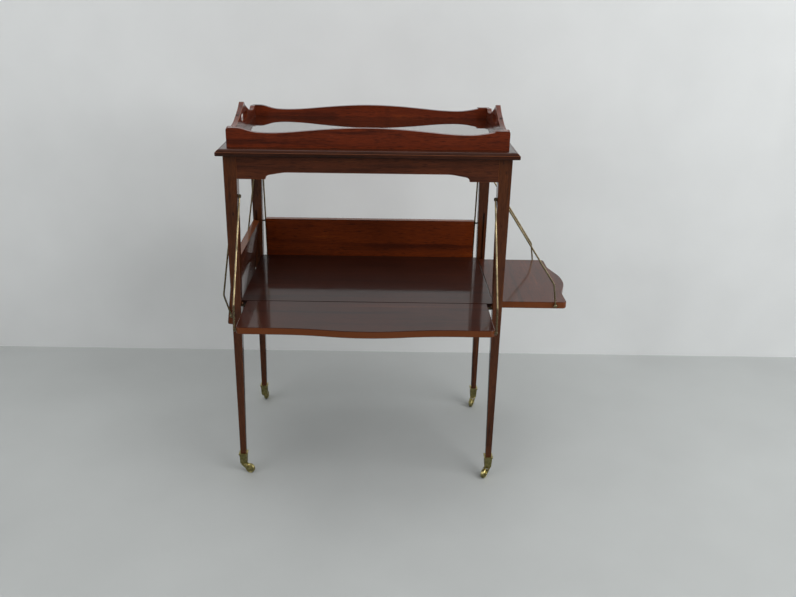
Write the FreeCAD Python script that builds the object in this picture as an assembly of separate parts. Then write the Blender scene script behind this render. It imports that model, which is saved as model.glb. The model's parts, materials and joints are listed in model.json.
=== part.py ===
"""Serving table on casters: a lift-off glazed tray, a low shelf and four leaves that swing up.

Millimetres. X runs along the table, Y from front to back, Z up from the floor.
The origin is on the floor below the middle of the top.
Each leaf turns on two pins that climb in grooves in the legs, while a pair of bent
brass stays carries its outer end. The front and right leaves stand open here, and
the rear and left leaves are put up.
"""
import FreeCAD, Part
import math
import os

# Carcase
leg_span_x = 622.0
leg_span_y = 369.0
top_height = 815.0
top_thickness = 15.0
top_overhang = 14.0
top_lip = 8.5
top_ovolo_width = 11.0
top_quirk = 1.2
top_under_round = 2.5
leg_top_side = 28.0
leg_foot_side = 13.2
leg_arris = 0.9
leg_end_height = 31.0
apron_height = 51.5
apron_thickness = 16.0
apron_flat = 62.0
apron_cove = 50.0
apron_rise = 15.5
tenon_thickness = 7.0
tenon_length = 11.0
tenon_shoulder = 8.0
block_length = 44.0
block_side = 14.0
block_setback = 60.0

# Low shelf and leaves
shelf_height = 458.0
board_thickness = 16.0
shelf_let_in = 2.5
shelf_notch_gap = 0.1
dowel_radius = 3.0
dowel_length = 22.0
joint_gap = 3.0
leaf_end_gap = 6.0
leaf_arris = 1.2
leaf_corner_round = 10.0
front_leaf_reach = 152.0
front_leaf_bow = 14.0
front_bow_half = 200.0
side_leaf_reach = 172.5
side_leaf_bow = 19.5
side_bow_half = 105.0

# Sliding pins and stays
pin_radius = 2.1
pin_inset = 7.1
pin_depth = 12.0
pin_running = 0.05
groove_depth = 4.0
groove_play = 0.2
groove_end_play = 0.7
groove_overrun = 30.0
stud_reach = 145.2
left_leaf_lean_deg = 7.0
rear_leaf_lean_deg = 0.0
stud_radius = 3.0
stud_shank_radius = 1.5
stud_depth = 12.0
stay_top_drop = 41.5
stay_radius = 2.0
stay_short = 54.0
stay_bend_deg = 25.0
stay_bend_radius = 14.0
stay_offset = 2.5
eye_radius = 4.6
eye_thickness = 3.0
rivet_radius = 3.2
rivet_height = 1.2
screw_radius = 1.75
screw_depth = 10.0
screw_head_radius = 4.0
screw_head_height = 1.8
screw_collar_radius = 3.2
running_gap = 0.3
screw_running = 0.05

# Casters
cup_wall = 2.2
cup_top_height = 55.0
cup_floor_height = 27.0
cup_draft = 0.8
rim_flare = 1.8
rim_height = 4.5
cup_boss_radius = 6.0
cup_boss_height = 2.0
swivel_radius = 2.5
swivel_running = 0.05
swivel_stop = 0.3
horn_plate_radius = 8.0
horn_plate_thickness = 3.0
horn_arm_thickness = 2.0
horn_arm_back = 5.0
horn_eye_radius = 4.4
wheel_radius = 12.0
wheel_width = 9.0
wheel_crown = 1.6
wheel_hub_radius = 5.0
wheel_dish = 1.0
wheel_side_play = 0.4
axle_radius = 2.0
axle_running = 0.05
axle_head_radius = 3.0
axle_head_height = 0.8
caster_trail = 16.0
caster_turns_deg = {"front_left": -16.0, "front_right": -126.0, "rear_left": 82.0, "rear_right": -112.0}

# Tray
tray_end_margin = 21.0
tray_side_margin = 22.5
tray_setback = 6.0
tray_board = 11.0
tray_flat_height = 41.0
tray_low_height = 31.0
tray_hump_height = 43.5
tray_end_low_height = 35.0
tray_end_hump_height = 71.5
tray_corner_round = 5.0
hand_hole_length = 78.0
hand_hole_height = 16.0
hand_hole_centre = 39.5
tray_base_rise = 4.0
tray_base_thickness = 7.0
tray_groove_depth = 4.0
glass_thickness = 4.0
glass_play = 0.5

# Where the tray boards' top edges turn, as shares of the half length and of the rise
long_board_shares = [(0.925, 1.0), (0.895, 0.88), (0.826, 0.28), (0.743, 0.0)]
long_hump_shares = [(0.576, 0.1), (0.45, 0.37), (0.25, 0.78)]
end_board_shares = [(0.93, 1.0), (0.885, 0.62), (0.835, 0.16), (0.77, 0.0)]
end_hump_shares = [(0.64, 0.04), (0.52, 0.12), (0.39, 0.28), (0.27, 0.46), (0.15, 0.66), (0.06, 0.87)]
front_bow_shares = [(0.8, 0.05), (0.55, 0.31), (0.28, 0.8)]
side_bow_shares = [(0.8, 0.1), (0.55, 0.48), (0.28, 0.88)]
round_share = math.sin(math.radians(45))
overrun = 3.0

# Worked out from the sizes above
half_x = leg_span_x / 2
half_y = leg_span_y / 2
under_top = top_height - top_thickness
apron_bottom = under_top - apron_height
shelf_under = shelf_height - board_thickness
board_middle = shelf_height - board_thickness / 2


def leg_side(height):
    """Side of the square leg at a height: straight beside the aprons, tapered below."""
    if height >= apron_bottom:
        return leg_top_side
    share = (apron_bottom - height) / (apron_bottom - leg_end_height)
    return leg_top_side + (leg_foot_side - leg_top_side) * share


shelf_half_x = half_x - leg_side(shelf_height) + shelf_let_in
shelf_half_y = half_y - leg_side(shelf_height) + shelf_let_in
groove_x = shelf_half_x + joint_gap + pin_inset
groove_y = shelf_half_y + joint_gap + pin_inset
stay_top = apron_bottom - stay_top_drop
leaf_half_front = half_x - leg_side(stay_top) - leaf_end_gap
leaf_half_side = half_y - leg_side(stay_top) - leaf_end_gap
stay_inset = half_x - leg_side(stay_top) / 2 - shelf_half_x - joint_gap
stud_arm = stud_reach - pin_inset
stay_drop = stay_top - board_middle
stay_chord = math.hypot(stud_reach - stay_inset, stay_drop)
open_swing = math.atan2(stud_reach - stay_inset, stay_drop)
axle_height = wheel_radius
caster_x = half_x - leg_foot_side / 2
caster_y = half_y - leg_foot_side / 2
tray_length = 2 * (half_x + top_overhang - tray_end_margin)
tray_depth = 2 * (half_y + top_overhang - tray_side_margin)
tray_floor = top_height + tray_base_rise + tray_base_thickness


def raised_leaf(lean_deg):
    """Swing of the stays and rise of the pins when a leaf hangs at a lean from upright."""
    lean = math.radians(lean_deg)
    swing = math.asin((pin_inset + stud_arm * math.sin(lean) - stay_inset) / stay_chord)
    rise = stay_drop - stay_chord * math.cos(swing) + stud_arm * math.cos(lean)
    return swing, rise


pin_travel = raised_leaf(0)[1]


def vec(x, y, z):
    """Short form of a vector."""
    return FreeCAD.Vector(x, y, z)


def block(x0, x1, y0, y1, z0, z1):
    """Box between two corners given per axis."""
    return Part.makeBox(x1 - x0, y1 - y0, z1 - z0, vec(x0, y0, z0))


def line(a, b):
    """Straight edge."""
    return Part.LineSegment(a, b).toShape()


def arc(a, middle, b):
    """Arc through three points."""
    return Part.Arc(a, middle, b).toShape()


def quarter(a, corner, b):
    """Quarter of an ellipse from a to b that bulges towards their common corner."""
    centre = a + b - corner
    middle = centre + (a - centre) * round_share + (b - centre) * round_share
    curve = Part.BSplineCurve()
    curve.interpolate(Points=[a, middle, b], InitialTangent=corner - a, FinalTangent=b - corner)
    return curve.toShape()


def prism(edges, direction):
    """Solid made by pushing a closed outline along a direction."""
    return Part.Face(Part.Wire(Part.__sortEdges__(edges))).extrude(direction)


def outline_face(points):
    """Flat face with straight edges through points."""
    return Part.Face(Part.makePolygon(points + points[:1]))


def stacked(rings):
    """Solid with flat sides through rings of corners, from the lowest to the highest."""
    faces = [outline_face(rings[0]), outline_face(rings[-1])]
    for low, high in zip(rings, rings[1:]):
        for here, after in zip(range(len(low)), list(range(1, len(low))) + [0]):
            faces.append(outline_face([low[here], low[after], high[after], high[here]]))
    shell = Part.makeShell(faces)
    shell.sewShape()
    return Part.makeSolid(shell)


def mirrored(shape, over_x, over_y):
    """Copy of a shape mirrored over the table's middle planes."""
    if over_x:
        shape = shape.mirror(vec(0, 0, 0), vec(1, 0, 0))
    if over_y:
        shape = shape.mirror(vec(0, 0, 0), vec(0, 1, 0))
    return shape


def save(name, shapes):
    """Write one node, as one solid or as a group of separate solids."""
    shape = shapes[0] if len(shapes) == 1 else Part.makeCompound(shapes)
    shape.exportStep("parts/" + name + ".step")


def at_corners():
    """The four corners of the table, as a name and the two mirrorings from the front left."""
    return [
        ("front_left", False, False),
        ("front_right", True, False),
        ("rear_left", False, True),
        ("rear_right", True, True),
    ]


# Carcase


def top_section(half, across):
    """Cross section of the moulded top: lip, quirk and ovolo on both ends, round below."""

    def at(u, z):
        return across(u, under_top + z)

    start = half - top_ovolo_width
    quirk = half - top_quirk
    width = quirk - start
    rise = top_thickness - top_lip
    radius = (width ** 2 + rise ** 2) / (2 * rise)
    turn = math.asin(width / radius)
    under_round_out = top_under_round * (1 - round_share)
    edges = []
    for side in (-1, 1):
        edges.append(arc(at(side * (half - top_under_round), 0),
                         at(side * (half - under_round_out), under_round_out),
                         at(side * half, top_under_round)))
        edges.append(line(at(side * half, top_under_round), at(side * half, top_lip)))
        edges.append(line(at(side * half, top_lip), at(side * quirk, top_lip)))
        edges.append(arc(at(side * quirk, top_lip),
                         at(side * (start + radius * math.sin(turn / 2)),
                            top_thickness - radius * (1 - math.cos(turn / 2))),
                         at(side * start, top_thickness)))
    edges.append(line(at(-start, top_thickness), at(start, top_thickness)))
    edges.append(line(at(top_under_round - half, 0), at(half - top_under_round, 0)))
    return edges


def table_top():
    """Moulded slab: the long section and the cross section meet in mitres at the corners."""
    length = half_x + top_overhang
    depth = half_y + top_overhang
    along = prism(top_section(length, lambda u, z: vec(u, -depth, z)), vec(0, 2 * depth, 0))
    across = prism(top_section(depth, lambda u, z: vec(-length, u, z)), vec(2 * length, 0, 0))
    return along.common(across)


def leg_ring(height):
    """Corners of the front left leg at a height: upright outer faces, arrises taken off."""
    side = leg_side(height)
    x0, y0 = -half_x, -half_y
    near, far = leg_arris, side - leg_arris
    places = [(near, 0), (far, 0), (side, near), (side, far), (far, side), (near, side), (0, far), (0, near)]
    return [vec(x0 + x, y0 + y, height) for x, y in places]


def plain_leg():
    """Square tapered leg at the front left."""
    return stacked([leg_ring(height) for height in (leg_end_height, apron_bottom, under_top)])


def groove(across_x):
    """Slot cut in a leg's inner face for a leaf pin, rounded at both ends."""
    radius = pin_radius + groove_play
    low = board_middle
    high = board_middle + pin_travel + groove_overrun
    if across_x:
        face, floor, line_at = half_x - leg_top_side, half_x - leg_side(shelf_height) + groove_depth, groove_y
    else:
        face, floor, line_at = half_y - leg_top_side, half_y - leg_side(shelf_height) + groove_depth, groove_x
    if across_x:
        slot = block(-floor, -face, -line_at - radius, -line_at + radius, low, high)
        direction, point = vec(1, 0, 0), lambda z: vec(-floor, -line_at, z)
    else:
        slot = block(-line_at - radius, -line_at + radius, -floor, -face, low, high)
        direction, point = vec(0, 1, 0), lambda z: vec(-line_at, -floor, z)
    for height in (low, high):
        slot = slot.fuse(Part.makeCylinder(radius, floor - face, point(height), direction))
    return slot


def corner_dowel():
    """Dowel that pins the shelf's front left corner to its leg, on the slant."""
    along = vec(-1, -1, 0).normalize()
    corner = vec(-shelf_half_x + shelf_let_in, -shelf_half_y + shelf_let_in, board_middle)
    return Part.makeCylinder(dowel_radius, dowel_length, corner - along * (dowel_length / 2), along)


def apron(half_length, flat):
    """Apron on edge along X, outer face at y = 0, with a coved opening and a tenon at each end."""
    turn = half_length - flat
    inner = turn - apron_cove
    crown = apron_bottom + apron_rise
    edges = [line(vec(-half_length, 0, under_top), vec(half_length, 0, under_top)),
             line(vec(-inner, 0, crown), vec(inner, 0, crown))]
    for side in (-1, 1):
        edges.append(line(vec(side * half_length, 0, under_top), vec(side * half_length, 0, apron_bottom)))
        edges.append(line(vec(side * half_length, 0, apron_bottom), vec(side * turn, 0, apron_bottom)))
        edges.append(quarter(vec(side * turn, 0, apron_bottom), vec(side * turn, 0, crown),
                             vec(side * inner, 0, crown)))
    board = prism(edges, vec(0, apron_thickness, 0))
    tenon_y = (apron_thickness - tenon_thickness) / 2
    tenon = block(-half_length - tenon_length, half_length + tenon_length, tenon_y, tenon_y + tenon_thickness,
                  crown, under_top - tenon_shoulder)
    return board.fuse(tenon).removeSplitter()


def aprons():
    """The four aprons, flush with the legs' outer faces."""
    half_long = half_x - leg_top_side
    half_short = half_y - leg_top_side
    long_apron = apron(half_long, apron_flat)
    short_apron = apron(half_short, apron_flat * half_short / half_long)
    front = long_apron.copy()
    front.translate(vec(0, -half_y, 0))
    left = short_apron.copy()
    left.rotate(vec(0, 0, 0), vec(0, 0, 1), -90)
    left.translate(vec(-half_x, 0, 0))
    return {
        "apron_front": front,
        "apron_rear": mirrored(front, False, True),
        "apron_left": left,
        "apron_right": mirrored(left, True, False),
    }


def glue_blocks():
    """Blocks rubbed into the angle between the aprons and the top."""
    face = half_y - apron_thickness
    low = under_top - block_side
    inner = half_x - leg_top_side - block_setback
    blocks = []
    for side in (-1, 1):
        y0, y1 = sorted((side * face, side * (face - block_side)))
        blocks.append(block(-inner, -inner + block_length, y0, y1, low, under_top))
        blocks.append(block(inner - block_length, inner, y0, y1, low, under_top))
        end = half_x - apron_thickness
        x0, x1 = sorted((side * end, side * (end - block_side)))
        blocks.append(block(x0, x1, -block_length / 2, block_length / 2, low, under_top))
    return blocks


def fixed_shelf(dowels):
    """Shelf between the legs, with upright notches round their inner corners."""
    shelf = block(-shelf_half_x, shelf_half_x, -shelf_half_y, shelf_half_y, shelf_under, shelf_height)
    notch_x = half_x - leg_side(shelf_height) - shelf_notch_gap
    notch_y = half_y - leg_side(shelf_height) - shelf_notch_gap
    notch = block(-half_x, -notch_x, -half_y, -notch_y, shelf_under - overrun, shelf_height + overrun)
    notches = [mirrored(notch, over_x, over_y) for name, over_x, over_y in at_corners()]
    return shelf.cut(Part.makeCompound(notches + dowels))


# Leaves


def leaf_outline(half_length, reach, bow, bow_half, bow_shares, height):
    """Outline of a leaf from its straight inner edge at y = 0 to its serpentine edge at -y."""
    inner_round = half_length - leaf_corner_round
    outer = []
    for share, rise in bow_shares:
        outer.append(vec(bow_half * share, -reach - bow * rise, height))
    right = [vec(bow_half, -reach, height)] + outer
    left = [vec(-point.x, point.y, height) for point in right]
    curve = Part.BSplineCurve()
    points = left + [vec(0, -reach - bow, height)] + right[::-1]
    curve.interpolate(Points=points, InitialTangent=vec(1, 0, 0), FinalTangent=vec(1, 0, 0))
    edges = [curve.toShape(), line(vec(-half_length, 0, height), vec(half_length, 0, height))]
    for side in (-1, 1):
        edges.append(line(vec(side * bow_half, -reach, height), vec(side * inner_round, -reach, height)))
        edges.append(arc(
            vec(side * inner_round, -reach, height),
            vec(side * (inner_round + leaf_corner_round * round_share),
                -reach + leaf_corner_round * (1 - round_share), height),
            vec(side * half_length, -reach + leaf_corner_round, height)))
        edges.append(line(vec(side * half_length, -reach + leaf_corner_round, height),
                          vec(side * half_length, 0, height)))
    return edges


def leaf_body(half_length, reach, bow, bow_half, bow_shares):
    """Open leaf before it is placed: inner edge at y = 0, reaching to -y, with holes for its pins."""
    outline = leaf_outline(half_length, reach, bow, bow_half, bow_shares, shelf_under)
    leaf = prism(outline, vec(0, 0, board_thickness))
    rim = []
    for edge in leaf.Edges:
        box = edge.BoundBox
        flat = box.ZLength < joint_gap
        at_joint = box.YMax > -joint_gap and box.YLength < joint_gap
        if flat and not at_joint:
            rim.append(edge)
    leaf = leaf.makeChamfer(leaf_arris, rim)
    for side in (-1, 1):
        inwards = vec(-side, 0, 0)
        pin_from = vec(side * (half_length + overrun), -pin_inset, board_middle)
        leaf = leaf.cut(Part.makeCylinder(pin_radius + pin_running, pin_depth + overrun, pin_from, inwards))
        stud_from = vec(side * (half_length + overrun), -stud_reach, board_middle)
        leaf = leaf.cut(Part.makeCylinder(stud_shank_radius, stud_depth + overrun, stud_from, inwards))
    return leaf


def leaf_pins(half_length, tip):
    """The two pins that a leaf turns on, from inside its ends to inside the legs' grooves."""
    pins = []
    for side in (-1, 1):
        start = vec(side * (half_length - pin_depth + running_gap), -pin_inset, board_middle)
        length = tip - groove_end_play - (half_length - pin_depth + running_gap)
        pins.append(Part.makeCylinder(pin_radius, length, start, vec(side, 0, 0)))
    return pins


def leaf_studs(half_length, stay_plane):
    """Round bosses on the leaf's ends that the stays' eyes ride beside, each with its shank."""
    studs = []
    face = stay_plane - eye_thickness / 2 - running_gap
    for side in (-1, 1):
        out = vec(side, 0, 0)
        boss = Part.makeCylinder(stud_radius, face - half_length,
                                 vec(side * half_length, -stud_reach, board_middle), out)
        shank = Part.makeCylinder(stud_shank_radius, stud_depth,
                                  vec(side * (half_length - stud_depth), -stud_reach, board_middle), out)
        studs.append(boss.fuse(shank))
    return studs


def stay(plane, side):
    """Bent rod from its pivot on a leg down to the stud of an open leaf, in the plane x = side * plane."""
    bend = math.radians(stay_bend_deg)
    long_run = math.sqrt(stay_chord ** 2 - (stay_short * math.sin(bend)) ** 2) - stay_short * math.cos(bend)
    lean = open_swing + math.asin(stay_short * math.sin(bend) / stay_chord)
    x = side * plane
    top = vec(x, -stay_inset, stay_top)
    knee = top + vec(0, -math.sin(lean), -math.cos(lean)) * long_run
    foot = vec(x, -stud_reach, board_middle)
    setback = stay_bend_radius * math.tan(bend / 2)
    into = (knee - top).normalize()
    out = (foot - knee).normalize()
    start = knee - into * setback
    end = knee + out * setback
    centre_way = (out - into).normalize()
    centre = knee + centre_way * (stay_bend_radius / math.cos(bend / 2))
    section = Part.Face(Part.Wire(Part.makeCircle(stay_radius, start, into)))
    rod = section.revolve(centre, (start - centre).cross(into), stay_bend_deg)
    rod = rod.fuse(Part.makeCylinder(stay_radius, (start - top).Length, top, into))
    rod = rod.fuse(Part.makeCylinder(stay_radius, (foot - end).Length, end, out))
    across = vec(side, 0, 0)
    half_eye = across * (eye_thickness / 2)
    for eye_centre in (top, foot):
        for way in (-1, 1):
            flat = Part.makeCylinder(eye_radius + running_gap, stay_radius,
                                     eye_centre + half_eye * way, across * way)
            rod = rod.cut(flat)
        rod = rod.fuse(Part.makeCylinder(eye_radius, eye_thickness, eye_centre - half_eye, across))
    hole = Part.makeCylinder(screw_radius + screw_running, eye_thickness + overrun,
                             top - half_eye - across * (overrun / 2), across)
    head = Part.makeCone(rivet_radius, rivet_radius - rivet_height, rivet_height, foot + half_eye, across)
    return rod.cut(hole).fuse(head).removeSplitter()


def pivot_screw(plane, side, leg_face):
    """Shoulder screw that holds a stay's upper eye to the leg's inner face."""
    across = vec(side, 0, 0)
    x_head = side * (plane - eye_thickness / 2 - running_gap)
    top = vec(x_head, -stay_inset, stay_top)
    head = Part.makeCone(screw_head_radius, screw_head_radius - screw_head_height, screw_head_height,
                         top, across * -1)
    shank = Part.makeCylinder(screw_radius, leg_face - abs(x_head) + screw_depth, top, across)
    collar_from = plane + eye_thickness / 2 + running_gap
    collar = Part.makeCylinder(screw_collar_radius, leg_face - collar_from,
                               vec(side * collar_from, -stay_inset, stay_top), across)
    return head.fuse(shank).fuse(collar).removeSplitter()


def put_up(shape, lean_deg):
    """Carry a leaf or its studs from the open place to the raised one."""
    shape = shape.copy()
    shape.rotate(vec(0, -pin_inset, board_middle), vec(1, 0, 0), 90 - lean_deg)
    shape.translate(vec(0, 0, raised_leaf(lean_deg)[1]))
    return shape


def raised_pins(shape, lean_deg):
    """Carry the pins to where they stand when the leaf is put up."""
    shape = shape.copy()
    shape.translate(vec(0, 0, raised_leaf(lean_deg)[1]))
    return shape


def stay_down(shape, lean_deg):
    """Swing a stay to where it hangs when the leaf is put up."""
    shape = shape.copy()
    swing = open_swing - raised_leaf(lean_deg)[0]
    shape.rotate(vec(0, -stay_inset, stay_top), vec(1, 0, 0), math.degrees(swing))
    return shape


def placed(shape, edge, turn):
    """Move a piece made against y = 0 out to the shelf's edge and turn it to its side of the table."""
    shape = shape.copy()
    shape.translate(vec(0, -edge, 0))
    shape.rotate(vec(0, 0, 0), vec(0, 0, 1), turn)
    return shape


def leaves():
    """All pieces of the four leaves, as node names with their solids."""
    nodes = {}
    screws = []
    inner_x = half_x - leg_side(shelf_height) + groove_depth
    inner_y = half_y - leg_side(shelf_height) + groove_depth
    face_x = half_x - leg_side(stay_top)
    face_y = half_y - leg_side(stay_top)
    front_board = (leaf_half_front, front_leaf_reach, front_leaf_bow, front_bow_half, front_bow_shares)
    side_board = (leaf_half_side, side_leaf_reach, side_leaf_bow, side_bow_half, side_bow_shares)
    front = (front_board, inner_x, face_x, shelf_half_y + joint_gap)
    side = (side_board, inner_y, face_y, shelf_half_x + joint_gap)
    plans = [
        ("front", ("left", "right"), 0, None, front),
        ("right", ("front", "rear"), 90, None, side),
        ("rear", ("right", "left"), 180, rear_leaf_lean_deg, front),
        ("left", ("rear", "front"), -90, left_leaf_lean_deg, side),
    ]
    for name, ends, turn, lean, (board, tip, face, edge) in plans:
        plane = face - stay_offset
        half_length = board[0]
        leaf = leaf_body(*board)
        pins = leaf_pins(half_length, tip)
        studs = leaf_studs(half_length, plane)
        rods = [stay(plane, -1), stay(plane, 1)]
        if lean is not None:
            leaf = put_up(leaf, lean)
            pins = [raised_pins(pin, lean) for pin in pins]
            studs = [put_up(stud, lean) for stud in studs]
            rods = [stay_down(rod, lean) for rod in rods]
        nodes[name + "_leaf"] = [placed(leaf, edge, turn)]
        nodes[name + "_leaf_pins"] = [placed(pin, edge, turn) for pin in pins]
        nodes[name + "_leaf_studs"] = [placed(stud, edge, turn) for stud in studs]
        for end, rod in zip(ends, rods):
            nodes[name + "_leaf_stay_" + end] = [placed(rod, edge, turn)]
        for way in (-1, 1):
            screws.append(placed(pivot_screw(plane, way, face), edge, turn))
    nodes["stay_screws"] = screws
    return nodes


# Casters


def cup(leg, over_x, over_y):
    """Square cup with a flared rim, closed below, on the foot of a leg."""

    def ring(half, height):
        return [vec(x, y, height) for x, y in ((-half, -half), (half, -half), (half, half), (-half, half))]

    half_top = leg_side(cup_top_height) / 2 + cup_wall
    rim_low = cup_top_height - rim_height
    half_rim = half_top + rim_flare
    body = stacked([ring(half_top - cup_draft, cup_floor_height), ring(half_top, rim_low),
                    ring(half_rim, rim_low + rim_height / 2), ring(half_rim, cup_top_height)])
    boss_low = cup_floor_height - cup_boss_height
    boss = Part.makeCylinder(cup_boss_radius, cup_boss_height, vec(0, 0, boss_low))
    hole = Part.makeCylinder(swivel_radius + swivel_running, leg_end_height - boss_low, vec(0, 0, boss_low))
    shape = body.fuse(boss).cut(hole)
    shape.translate(vec(-caster_x, -caster_y, 0))
    return mirrored(shape, over_x, over_y).cut(leg).removeSplitter()


def horn():
    """Forked horn with its plate and swivel pin, trailing along +X from the origin."""
    plate_top = cup_floor_height - cup_boss_height - swivel_stop
    plate_low = plate_top - horn_plate_thickness
    plate = Part.makeCylinder(horn_plate_radius, horn_plate_thickness, vec(0, 0, plate_low))
    pin_top = leg_end_height - swivel_stop
    pin = Part.makeCylinder(swivel_radius, pin_top - plate_top, vec(0, 0, plate_top))
    shape = plate.fuse(pin)
    inner = wheel_width / 2 + wheel_side_play
    start_out = math.sqrt(horn_plate_radius ** 2 - (inner + horn_arm_thickness) ** 2)
    eye_x = caster_trail
    for side in (-1, 1):
        y0 = side * inner if side > 0 else -inner - horn_arm_thickness
        lean = math.atan2(plate_low - axle_height, eye_x - start_out)
        up = vec(math.sin(lean), 0, math.cos(lean)) * horn_eye_radius
        eye = vec(eye_x, y0, axle_height)
        upper = [vec(start_out, y0, plate_top - horn_plate_thickness / 2), eye + up]
        lower = [eye - up, vec(-horn_arm_back, y0, plate_low)]
        corner = vec(-horn_arm_back, y0, plate_top - horn_plate_thickness / 2)
        edges = [line(upper[0], upper[1]),
                 arc(upper[1], eye + vec(math.cos(lean), 0, -math.sin(lean)) * horn_eye_radius, lower[0]),
                 line(lower[0], lower[1]), line(lower[1], corner), line(corner, upper[0])]
        shape = shape.fuse(prism(edges, vec(0, horn_arm_thickness, 0)))
    bore = Part.makeCylinder(axle_radius, 2 * horn_plate_radius,
                             vec(eye_x, -horn_plate_radius, axle_height), vec(0, 1, 0))
    return shape.cut(bore).removeSplitter()


def wheel():
    """Brass wheel with a bevelled tread and a shallow dish on both sides, on the axle's line."""
    half = wheel_width / 2
    tread = wheel_radius - wheel_crown
    crown = half - wheel_crown
    bore = axle_radius + axle_running
    dish = half - wheel_dish
    points = [vec(0, half, bore), vec(0, half, wheel_hub_radius), vec(0, dish, wheel_hub_radius + wheel_dish),
              vec(0, dish, tread - wheel_dish), vec(0, half, tread), vec(0, crown, wheel_radius)]
    edges = []
    for side in (-1, 1):
        run = [vec(0, side * point.y, point.z) for point in points]
        edges += [line(a, b) for a, b in zip(run, run[1:])]
    edges.append(line(vec(0, -crown, wheel_radius), vec(0, crown, wheel_radius)))
    edges.append(line(vec(0, -half, bore), vec(0, half, bore)))
    face = Part.Face(Part.Wire(Part.__sortEdges__(edges)))
    shape = face.revolve(vec(0, 0, 0), vec(0, 1, 0), 360)
    shape.translate(vec(caster_trail, 0, axle_height))
    return shape


def axle():
    """Riveted axle through the horn's two eyes."""
    half = wheel_width / 2 + wheel_side_play + horn_arm_thickness
    shape = Part.makeCylinder(axle_radius, 2 * half, vec(caster_trail, -half, axle_height), vec(0, 1, 0))
    for side in (-1, 1):
        foot = vec(caster_trail, side * half, axle_height)
        head = Part.makeCone(axle_head_radius, axle_head_radius - axle_head_height, axle_head_height,
                             foot, vec(0, side, 0))
        shape = shape.fuse(head)
    return shape.removeSplitter()


def casters(legs):
    """The four casters, each turned its own way, as node names with their solids."""
    nodes = {}
    for (name, over_x, over_y), leg in zip(at_corners(), legs):
        nodes["caster_cup_" + name] = [cup(leg, over_x, over_y)]
        place = vec(caster_x if over_x else -caster_x, caster_y if over_y else -caster_y, 0)
        for piece, shape in (("horn", horn()), ("wheel", wheel()), ("axle", axle())):
            shape.rotate(vec(0, 0, 0), vec(0, 0, 1), caster_turns_deg[name])
            shape.translate(place)
            nodes["caster_" + piece + "_" + name] = [shape]
    return nodes


# Tray


def tray_board_solid(half_length, board_shares, hump_shares, low_height, hump_height, corner_round):
    """Tray board along X, outer face at y = 0: lobed ends, a dip on each side and a middle hump."""
    top = top_height
    fall = tray_flat_height - low_height
    rise = hump_height - low_height
    points = []
    for share, part in board_shares:
        points.append(vec(half_length * share, 0, top + low_height + fall * part))
    for share, part in hump_shares:
        points.append(vec(half_length * share, 0, top + low_height + rise * part))
    left = [vec(-point.x, 0, point.z) for point in points]
    curve = Part.BSplineCurve()
    curve.interpolate(Points=left + [vec(0, 0, top + hump_height)] + points[::-1],
                      InitialTangent=vec(1, 0, 0), FinalTangent=vec(1, 0, 0))
    high = top + tray_flat_height
    edges = [curve.toShape(), line(vec(-half_length, 0, top), vec(half_length, 0, top))]
    flat_from = half_length * board_shares[0][0]
    turn = half_length - corner_round
    for side in (-1, 1):
        edges.append(line(vec(side * flat_from, 0, high), vec(side * turn, 0, high)))
        edges.append(arc(
            vec(side * turn, 0, high),
            vec(side * (turn + corner_round * round_share), 0, high - corner_round * (1 - round_share)),
            vec(side * half_length, 0, high - corner_round)))
        edges.append(line(vec(side * half_length, 0, high - corner_round), vec(side * half_length, 0, top)))
    return prism(edges, vec(0, tray_board, 0))


def hand_hole():
    """Rounded slot through an end board, along X and through Y."""
    radius = hand_hole_height / 2
    reach = hand_hole_length / 2 - radius
    height = top_height + hand_hole_centre
    slot = block(-reach, reach, -overrun, tray_board + overrun, height - radius, height + radius)
    for side in (-1, 1):
        slot = slot.fuse(Part.makeCylinder(radius, tray_board + 2 * overrun,
                                           vec(side * reach, -overrun, height), vec(0, 1, 0)))
    return slot


def tray():
    """The tray's boards, base and glass, as node names with their solids."""
    half_length = tray_length / 2
    half_depth = tray_depth / 2
    end_half = half_depth - tray_board
    base = block(-half_length + tray_board - tray_groove_depth, half_length - tray_board + tray_groove_depth,
                 -half_depth + tray_board - tray_groove_depth, half_depth - tray_board + tray_groove_depth,
                 top_height + tray_base_rise, tray_floor)
    front = tray_board_solid(half_length, long_board_shares, long_hump_shares, tray_low_height,
                             tray_hump_height, tray_corner_round)
    front.translate(vec(0, -half_depth, 0))
    front = front.cut(base)
    end = tray_board_solid(end_half, end_board_shares, end_hump_shares, tray_end_low_height,
                           tray_end_hump_height, tray_corner_round / 2)
    end = end.cut(hand_hole())
    end.rotate(vec(0, 0, 0), vec(0, 0, 1), -90)
    end.translate(vec(-half_length, 0, 0))
    end = end.cut(base)
    glass_x = half_length - tray_board - glass_play
    glass_y = half_depth - tray_board - glass_play
    glass = block(-glass_x, glass_x, -glass_y, glass_y, tray_floor, tray_floor + glass_thickness)
    nodes = {
        "tray_front_board": [front],
        "tray_rear_board": [mirrored(front, False, True)],
        "tray_left_end": [end],
        "tray_right_end": [mirrored(end, True, False)],
        "tray_base": [base],
        "tray_glass": [glass],
    }
    for shapes in nodes.values():
        for shape in shapes:
            shape.translate(vec(0, tray_setback, 0))
    return nodes


# Assembly


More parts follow.
